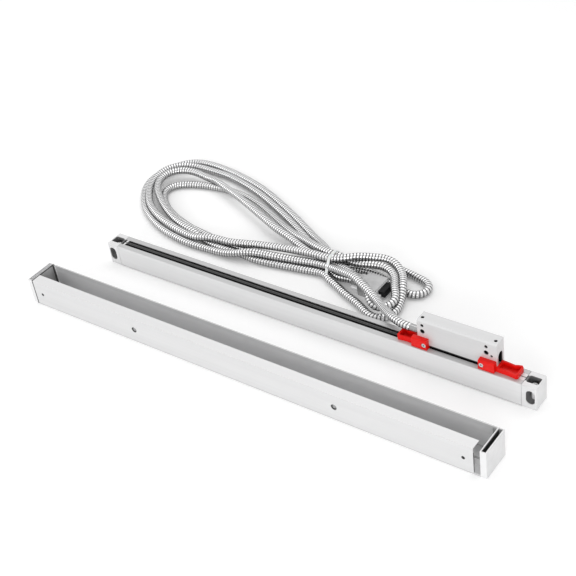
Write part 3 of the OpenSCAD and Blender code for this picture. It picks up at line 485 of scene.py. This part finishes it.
# By the slot that the record gives to each node, and by node where one differs from its slot
FINISHES = {
    "anodised_aluminium": body_finish(),
    "cap_metal": cap_finish(),
    "steel": blasted("machined steel", 150, 172, 0.32, 0.9),
    "dark_screw": blasted("blackened screws", 52, 66, 0.38, 0.8),
    "bush_steel": blasted("mounting bush", 240, 248, 0.35, 0.1),
    "black_rubber": rubber_finish(),
    "scale_glass": finish("scale glass", (0.86, 0.94, 0.95), 0, 0.06, Transmission_Weight=0.85,
                          IOR=1.52),
    "board_green": board,
    "carriage_zinc": blasted("zinc casting", 128, 148, 0.5, 0.8),
    "red_plastic": red_plastic,
    "hose_steel": bright_steel,
    "tie_nylon": nylon,
    "hood_metal": blasted("plated hood", 176, 196, 0.3, 0.75),
    "insulator_black": moulded("black insulator", (0.008, 0.008, 0.009), 0.4, 2200, 0.00003, 0.5,
                               Specular_IOR_Level=0.12),
    "contact_gold": gold,
}
SPECIAL = {
    "head_body": head_finish(),
    "cover_channel": cover_finish(),
    "cover_end_left": cover_left_finish(),
    "cover_end_right": cover_right_finish(),
    "cover_screws": blasted("black screws", 26, 36, 0.5, 0.2),
    "cap_gaskets": moulded("grey gasket", grey(150), 0.6, 900, 0.00003, 0.4),
    "cable_ferrule": ferrule_finish(),
    "bracket_screws": bright_steel,
}
for part in frame["record"]["subparts"]:
    slots = nodes[part["node"]].data.materials
    slots.clear()
    slots.append(SPECIAL.get(part["node"], FINISHES[part["material_slot"]]))

# ---- Rounded edges of the scale's end caps ----

CAP_ROUNDING = 0.0007
SHARP_ANGLE = math.radians(50)

for name in ("end_cap_left", "end_cap_right"):
    rounding = nodes[name].modifiers.new("rounded edges", "BEVEL")
    rounding.width, rounding.segments = CAP_ROUNDING, 3
    rounding.limit_method, rounding.angle_limit = "ANGLE", SHARP_ANGLE

# ---- Hose ----

# Millimetres; the groove's width is a share of the pitch
HOSE_D, PITCH = 10.5, 4.1
GROOVE_DEPTH, GROOVE_WIDTH = 0.55, 0.15
# Points round the hose, and rings of them to a turn of the strip
SIDES, RINGS = 16, 5
# Distance between the points of the route while it settles, and how many of them a mean takes in
ROUTE_STEP, MEAN_WIDTH = 4, 1.6

# How the strands settle. A bend limit is a reach in points, and the least chord over twice that.
CLEARANCE = 0.1
BEND_LIMITS = ((3, 21.5), (5, 31.0))
ROUNDS, LOOSE_ROUNDS = 400, 100
HOME_PULL, LOOSE_PULL = 0.03, 0.01
HELD_LEAD, HELD_TAIL = 100, 34
TIED_X, TIED_REACH, TIED_Y = 292, 9, 140
PLUG_X, PLUG_Y = (331, 378), (84, 122)
OVER_PLUG_Z, PLUG_TOP = 10, 15

# The route, in the scale's frame, stretch by stretch
LEAD = [(473.5, 16.9, 45.4), (464.5, 16.9, 45.4), (446, 23, 44), (432, 33, 39.5),
    (418, 43.5, 34.5), (404, 54.5, 31), (390, 64, 29.5), (367, 76.5, 29.5), (345, 88, 29),
    (330, 93.5, 25), (312, 101, 20), (300, 104.5, 17), (289, 105.8, 15.4)]
LOWER_1 = [(276, 106.5, 14), (263, 104.5, 14), (240, 100, 13), (215, 94, 13), (190, 89, 12),
    (165, 84, 10), (140, 80, 7), (115, 78, 5.5), (95, 77, 5.3), (67, 78, 5.3), (33, 84, 5.3),
    (4, 94, 5.3), (-32, 113, 5.3), (-51, 129, 5.3), (-66, 146, 5.3), (-77, 163, 5.3)]
UPPER_1 = [(-82, 180, 5.3), (-82, 198, 5.3), (-78, 214, 5.3), (-70, 232, 5.3), (-54, 248, 5.3),
    (-33, 254, 5.3), (-10, 254, 5.3), (16, 251, 5.3), (46, 245, 5.3), (78, 236, 5.3),
    (112, 223, 5.3), (144, 207, 5.3), (187, 185, 5.3), (228, 161, 6), (255, 145, 9),
    (273, 134, 14), (289, 126.8, 15.4)]
SMALL_LOOP = [(302, 128, 11), (315, 136, 7), (330, 147, 5.3), (350, 153, 5.3), (373, 152, 5.3),
    (391, 149, 5.3), (404, 146.5, 5.3), (416, 142, 5.3), (426, 135, 5.3), (430, 126, 5.3),
    (424, 117, 5.3), (410, 113, 5.3)]
BACK_1 = [(394, 115, 5.3), (378, 121, 5.3), (360, 127, 5.3), (342, 129.5, 5.3), (322, 127, 5.3),
    (305, 123, 6), (289, 121.5, 6.3)]
UPPER_2 = [(273, 130, 5.5), (250, 144, 5.3), (220, 160, 5.3), (190, 176, 5.3), (155, 194, 5.3),
    (121, 209, 5.3), (89, 222, 5.3), (59, 231, 5.3), (24, 239, 5.3), (-6, 240.5, 5.3),
    (-32, 240, 6), (-53, 232, 9), (-65, 220, 12), (-71, 206, 13), (-73, 190, 13), (-69, 173, 13)]
LOWER_2 = [(-62, 157, 13), (-50, 141, 13), (-33, 123, 13), (-5, 105, 13), (23, 95, 13),
    (49, 89, 12), (80, 88, 10), (109, 90, 10), (137, 94, 13), (162, 99, 16), (193, 104, 19),
    (224, 108, 21), (253, 110.5, 23), (273, 111, 24.4), (289, 111, 24.5)]
ARCH_1 = [(303, 115, 24.8), (318, 122, 25), (334, 132, 25), (347, 141, 24), (359, 146, 22),
    (371, 145, 20), (384, 137, 18), (395, 123, 16), (403, 107, 13), (410, 91, 7), (413, 76, 5.3),
    (411, 63, 5.3), (403, 54.5, 5.3), (391, 53, 5.3), (381, 57.5, 5.3)]
BACK_2 = [(370, 64, 5.3), (355, 70.5, 5.3), (340, 76, 5.3), (326, 82, 5.3), (313, 90, 5.3),
    (304, 96, 5.6), (296, 100, 6.2), (289, 100.5, 6.3)]
LOWER_3 = [(280, 99.8, 6), (263, 97, 5.3), (235, 93, 5.3), (205, 89, 5.3), (175, 86, 5.3),
    (145, 87, 5.3), (110, 90, 5.4), (80, 94, 9), (51, 99, 13), (23, 109, 13.5), (-5, 124, 14),
    (-29, 141, 14.5), (-46, 156, 14.5)]
UPPER_3 = [(-57, 172, 15), (-60, 189, 15.5), (-54, 203, 15.5), (-41, 214, 14.5), (-18, 217, 13),
    (12, 212, 12), (49, 201, 14), (87, 186, 15.5), (124, 170, 16), (163, 153, 16), (185, 145, 15),
    (213, 138, 14), (240, 129, 14), (268, 121, 15)]
OVER_PLUG = [(289, 116.3, 15.4), (306, 112, 17), (322, 105, 19.5), (336, 99, 20.3),
    (350, 93, 20.4), (363, 86, 20.4), (374, 78.5, 19)]
ARCH_2 = [(382, 70, 15), (390, 63.5, 12), (399, 64, 11), (405, 72, 12), (407, 83, 13.5),
    (404, 95, 15), (397, 107, 16), (388, 119, 17), (376, 129, 18), (362, 133, 19), (347, 130, 20),
    (332, 125.5, 21), (317, 123, 22), (303, 122, 24)]
UPPER_4 = [(289, 121.5, 24.5), (265, 126, 22), (240, 135, 18), (210, 148, 13), (176, 164, 9),
    (134, 186, 6), (97, 201, 5.3), (65, 207, 5.3), (38, 208, 5.3), (13, 206, 5.3), (-9, 200, 5.3),
    (-30, 191, 5.3), (-42, 178, 5.3), (-40, 163, 5.3)]
LOWER_4 = [(-28, 148, 5.3), (-10, 134, 5.3), (15, 121, 5.3), (45, 111, 5.3), (70, 104, 5.3),
    (100, 98, 5.3), (130, 97, 5.3), (160, 99, 5.3), (190, 103, 5.3), (218, 106, 5.3),
    (245, 108, 5.3), (270, 112, 5.5), (289, 111, 6.3), (297, 107, 5.7)]
TAIL = [(304, 102, 5.3), (311, 102, 5.5), (319, 103, 7), (325, 103.5, 7.5), (333, 103.5, 7.5)]


def smooth_line(points, step):
    """A smooth curve through the points, with its own points a step apart."""
    p = np.array(points, float)
    a = np.vstack([2 * p[0] - p[1], p, 2 * p[-1] - p[-2]])
    t = np.linspace(0, 1, 24, endpoint=False)[:, None]
    curve = []
    for p0, p1, p2, p3 in zip(a[:-3], a[1:-2], a[2:-1], a[3:]):
        curve.append(0.5 * (2 * p1 + (p2 - p0) * t + (2 * p0 - 5 * p1 + 4 * p2 - p3) * t ** 2
                            + (3 * p1 - p0 - 3 * p2 + p3) * t ** 3))
    q = np.vstack(curve + [p[-1:]])
    along = np.concatenate([[0], np.cumsum(np.linalg.norm(np.diff(q, axis=0), axis=1))])
    where = np.linspace(0, along[-1], int(round(along[-1] / step)) + 1)
    return np.stack([np.interp(where, along, q[:, k]) for k in range(3)], 1)


def pushed_apart(path, i, j):
    """The moves that part the strands i and j where they lie in one another."""
    apart = path[i] - path[j]
    gap = np.linalg.norm(apart, axis=1)
    hit = gap < HOSE_D + CLEARANCE
    shove = (apart[hit] * ((HOSE_D + CLEARANCE - gap[hit]) / np.maximum(gap[hit], 0.01))[:, None]
             * 0.5)
    push, count = np.zeros_like(path), np.zeros(len(path))
    for ends, way in ((i[hit], shove), (j[hit], -shove)):
        np.add.at(push, ends, way)
        np.add.at(count, ends, 1)
    return push / np.maximum(count, 1)[:, None] * 1.4


def keep_form(path, move, step):
    """Adds the moves that space the points evenly, limit the bends and smooth the line."""
    span = path[1:] - path[:-1]
    size = np.linalg.norm(span, axis=1)
    fix = span * ((size - step) / size * 0.25)[:, None]
    move[:-1] += fix
    move[1:] -= fix
    for reach, least in BEND_LIMITS:
        span = path[2 * reach:] - path[:-2 * reach]
        size = np.linalg.norm(span, axis=1)
        off = np.minimum(size - least, 0) / size
        move[:-2 * reach] += span * off[:, None] * 0.25
        move[2 * reach:] -= span * off[:, None] * 0.25
        middle = (path[2 * reach:] + path[:-2 * reach]) / 2 - path[reach:-reach]
        move[reach:-reach] += middle * np.minimum(-off * 0.5, 0.3)[:, None]
    move[2:-2] += 0.3 * ((path[1:-3] + path[3:-1]) * 0.6667 - (path[:-4] + path[4:]) * 0.1667
                         - path[2:-2])


def lift_clear(path):
    """Nothing sinks into the floor, and what lies over the plug stays above it."""
    path[:, 2] = np.maximum(path[:, 2], HOSE_D / 2)
    x, y, z = path.T
    on_plug = ((x > PLUG_X[0]) & (x < PLUG_X[1]) & (y > PLUG_Y[0]) & (y < PLUG_Y[1])
               & (z > OVER_PLUG_Z))
    path[on_plug, 2] = np.maximum(path[on_plug, 2], PLUG_TOP + HOSE_D / 2)


def settle(path, step):
    """Strands that lie in one another move apart; the hose keeps its length and its stiffness."""
    home = path.copy()
    # Pairs of points that can meet: near in the bundle, but not neighbours along the hose
    i, j = np.triu_indices(len(path), int(math.ceil(2.2 * HOSE_D / step)))
    near = np.linalg.norm(path[i] - path[j], axis=1) < 3 * HOSE_D
    i, j = i[near], j[near]
    held = np.zeros(len(path), bool)
    held[:int(HELD_LEAD / step)] = True
    held[-int(HELD_TAIL / step):] = True
    tied = (np.abs(home[:, 0] - TIED_X) < TIED_REACH) & (home[:, 1] < TIED_Y)
    for k in range(ROUNDS):
        move = (home - path) * (HOME_PULL if k < ROUNDS - LOOSE_ROUNDS else LOOSE_PULL)
        move += pushed_apart(path, i, j)
        keep_form(path, move, step)
        move[tied] += (home - path)[tied] * 0.1
        move[held] = (home - path)[held] * 0.5
        path = path + move
        lift_clear(path)
    return path


def round_off(path, width):
    """A running mean that leaves the ends where they are."""
    reach = int(3 * width) + 1
    weight = np.exp(-0.5 * (np.arange(-reach, reach + 1) / width) ** 2)
    weight /= weight.sum()
    longer = np.vstack([2 * path[0] - path[reach:0:-1], path,
                        2 * path[-1] - path[-2:-reach - 2:-1]])
    mean = np.stack([np.convolve(longer[:, k], weight, "valid") for k in range(3)], 1)
    mean[:, 2] = np.maximum(mean[:, 2], HOSE_D / 2)
    return mean


route = LEAD + LOWER_1 + UPPER_1 + SMALL_LOOP + BACK_1 + UPPER_2 + LOWER_2 + ARCH_1 + BACK_2
route += LOWER_3 + UPPER_3 + OVER_PLUG + ARCH_2 + UPPER_4 + LOWER_4 + TAIL
settled = round_off(settle(smooth_line(route, ROUTE_STEP), ROUTE_STEP), MEAN_WIDTH)
hose_line = smooth_line(settled, PITCH / RINGS)


def wound_hose(name, line):
    """A hose wound from a profiled strip: round ridges that climb it like a screw."""
    count = len(line)
    ahead = np.gradient(line, axis=0)
    ahead /= np.linalg.norm(ahead, axis=1)[:, None]
    side = np.zeros_like(line)
    side[0] = np.cross(ahead[0], (0, 0, 1))
    for k in range(1, count):
        side[k] = side[k - 1] - ahead[k] * side[k - 1].dot(ahead[k])
        side[k] /= np.linalg.norm(side[k])
    other = np.cross(ahead, side)
    angle = np.arange(SIDES) / SIDES * 2 * math.pi
    phase = (np.arange(count)[:, None] / RINGS + np.arange(SIDES)[None] / SIDES) % 1
    radius = HOSE_D / 2 - GROOVE_DEPTH * np.exp(-((phase - 0.5) / GROOVE_WIDTH) ** 2)
    rim = (side[:, None] * np.cos(angle)[None, :, None]
           + other[:, None] * np.sin(angle)[None, :, None])
    points = line[:, None] + rim * radius[:, :, None]
    points = points.reshape(-1, 3) / 1000 + np.array([SCALE_X, SCALE_Y, 0])
    k, m = np.meshgrid(np.arange(count - 1), np.arange(SIDES), indexing="ij")
    n = (m + 1) % SIDES
    quads = np.stack([k * SIDES + m, k * SIDES + n, (k + 1) * SIDES + n, (k + 1) * SIDES + m], -1)
    faces = quads.reshape(-1, 4).tolist()
    faces.append(list(range(SIDES))[::-1])
    faces.append([(count - 1) * SIDES + m for m in range(SIDES)])
    mesh = bpy.data.meshes.new(name)
    mesh.from_pydata(points.tolist(), [], faces)
    # In the winding, u goes once round the hose and v counts its turns; the two ends stay at 0
    turns = np.stack([k, k, k + 1, k + 1], -1) / RINGS
    round_it = np.stack([m, m + 1, m + 1, m], -1) / SIDES
    wall = np.stack([round_it, turns], -1).reshape(-1, 2)
    uv = np.zeros((len(mesh.loops), 2), np.float32)
    uv[:len(wall)] = wall
    mesh.uv_layers.new(name="winding").data.foreach_set("uv", uv.ravel())
    mesh.polygons.foreach_set("use_smooth", [True] * len(mesh.polygons))
    mesh.update()
    return placed(name, mesh)


# Tones across one turn of the strip, from ridge to ridge, with painted shade towards the groove,
# and the tone of the ridges
STRIP_AND_GROOVE_SHADE_TONES = ((0.25, 214), (0.37, 132), (0.5, 40), (0.63, 132), (0.75, 214))
RIDGE_TONE = 230


def hose_finish():
    """Bright strip, with painted shade in the groove between its turns and on the underside."""
    material = finish("wound steel strip", grey(205), 0.9, 0.24)
    tree = material.node_tree
    unwound = node_of(tree, "UVMap")
    unwound.uv_map = "winding"
    parts = node_of(tree, "SeparateXYZ")
    tree.links.new(unwound.outputs[0], parts.inputs[0])
    strip = node_of(tree, "ValToRGB")
    for ridge in strip.color_ramp.elements:
        ridge.color = (*grey(RIDGE_TONE), 1)
    for position, level in STRIP_AND_GROOVE_SHADE_TONES:
        strip.color_ramp.elements.new(position).color = (*grey(level), 1)
    across = calc(tree, "FRACT", calc(tree, "ADD", parts.outputs[0], parts.outputs[1]))
    tree.links.new(across, strip.inputs[0])
    link(material, strip.outputs[0], "Base Color")
    # Painted shade: darker where the surface faces down
    facing = node_of(tree, "SeparateXYZ")
    tree.links.new(node_of(tree, "TexCoord").outputs["Normal"], facing.inputs[0])
    below = calc(tree, "MULTIPLY", rise(tree, facing.outputs[2], 0.45, -0.4), 0.55)
    paint(material, below, 70)
    spread(material, grain(material, 300), 0.18, 0.32, "Roughness")
    return material


hose = wound_hose("armour_hose", hose_line)
hose.data.materials.append(hose_finish())
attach(hose, "reading_head")
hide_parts("cable_lead", "cable_hank", "cable_tail")

# ---- Cable tie ----

# Millimetres in the scale's frame: the middles of the outermost strands, in turn, and the lock
STRANDS = [(100.5, 6.3), (121.5, 6.3), (126.8, 15.4), (121.5, 24.5), (111, 24.5)]
TIE_X, LOCK_Y, LOCK_Z = 295, 134.4, 15.4
BAND_CLEARANCE = 0.05
# Metres, as the mesh itself
BAND_T, BAND_W, BAND_ROUNDING = 0.00095, 0.0042, 0.0002
LOCK_SIZE, LOCK_ROUNDING = (0.0056, 0.0044, 0.0062), 0.0006
CORNER_STEPS = 6
RIM_ANGLE = math.radians(60)


def soften(shape, edges, offset):
    bmesh.ops.bevel(shape, geom=edges, offset=offset, offset_type="OFFSET", segments=2, profile=0.5,
                    affect="EDGES", material=-1)


def piece_of(name, shape):
    """Ends a bmesh as a piece of the scene."""
    mesh = bpy.data.meshes.new(name)
    shape.to_mesh(mesh)
    shape.free()
    return placed(name, mesh)


def tie_outline(shape):
    """The band's outer line: straight between the strands, and round at each of them."""
    corners = [Vector(strand) for strand in STRANDS]
    reach = HOSE_D / 2 + BAND_CLEARANCE + BAND_T * 1000
    outline = []
    for k, corner in enumerate(corners):
        before, after = corner - corners[k - 1], corners[(k + 1) % len(corners)] - corner
        start, stop = (math.atan2(-way.x, way.y) for way in (before, after))
        if stop < start:
            stop += 2 * math.pi
        for n in range(CORNER_STEPS + 1):
            a = start + (stop - start) * n / CORNER_STEPS
            y, z = corner + Vector((math.cos(a), math.sin(a))) * reach
            outline.append(shape.verts.new(at_scale(TIE_X, y, z)))
    return [shape.edges.new((outline[k - 1], outline[k])) for k in range(len(outline))]


def tie_band(name):
    """A band drawn tight round the outer strands, with its lock on the far side."""
    shape = bmesh.new()
    grown = bmesh.ops.extrude_edge_only(shape, edges=tie_outline(shape))["geom"]
    far_side = [item for item in grown if isinstance(item, bmesh.types.BMVert)]
    bmesh.ops.translate(shape, vec=(BAND_W, 0, 0), verts=far_side)
    bmesh.ops.recalc_face_normals(shape, faces=shape.faces)
    shape.normal_update()
    bmesh.ops.solidify(shape, geom=shape.faces[:], thickness=BAND_T)
    middle = sum(vert.co.x for vert in shape.verts) / len(shape.verts)
    bmesh.ops.translate(shape, vec=(at_scale(TIE_X, 0, 0).x - middle, 0, 0), verts=shape.verts[:])
    shape.normal_update()
    rims = [edge for edge in shape.edges if edge.calc_face_angle(0) > RIM_ANGLE]
    soften(shape, rims, BAND_ROUNDING)
    lock = bmesh.ops.create_cube(shape, size=1)["verts"]
    bmesh.ops.scale(shape, vec=LOCK_SIZE, verts=lock)
    bmesh.ops.translate(shape, vec=at_scale(TIE_X, LOCK_Y, LOCK_Z), verts=lock)
    lock_edges = list(dict.fromkeys(edge for vert in lock for edge in vert.link_edges))
    soften(shape, lock_edges, LOCK_ROUNDING)
    bmesh.ops.recalc_face_normals(shape, faces=shape.faces)
    return piece_of(name, shape)


tie = tie_band("nylon_tie")
tie.data.materials.append(nylon)
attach(tie, "reading_head")
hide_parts("cable_tie")

# ---- Floor ----

FLOOR_SIZE, FLOOR_DROP, FLOOR_GLOW = 1.9, 0.0002, 0.14

shape = bmesh.new()
bmesh.ops.create_grid(shape, x_segments=1, y_segments=1, size=FLOOR_SIZE)
floor = piece_of("floor", shape)
floor.location.z = -FLOOR_DROP
floor.data.materials.append(finish("floor", (0.95, 0.95, 0.95), 0, 0.6, Emission_Color=WHITE,
                                   Emission_Strength=FLOOR_GLOW))
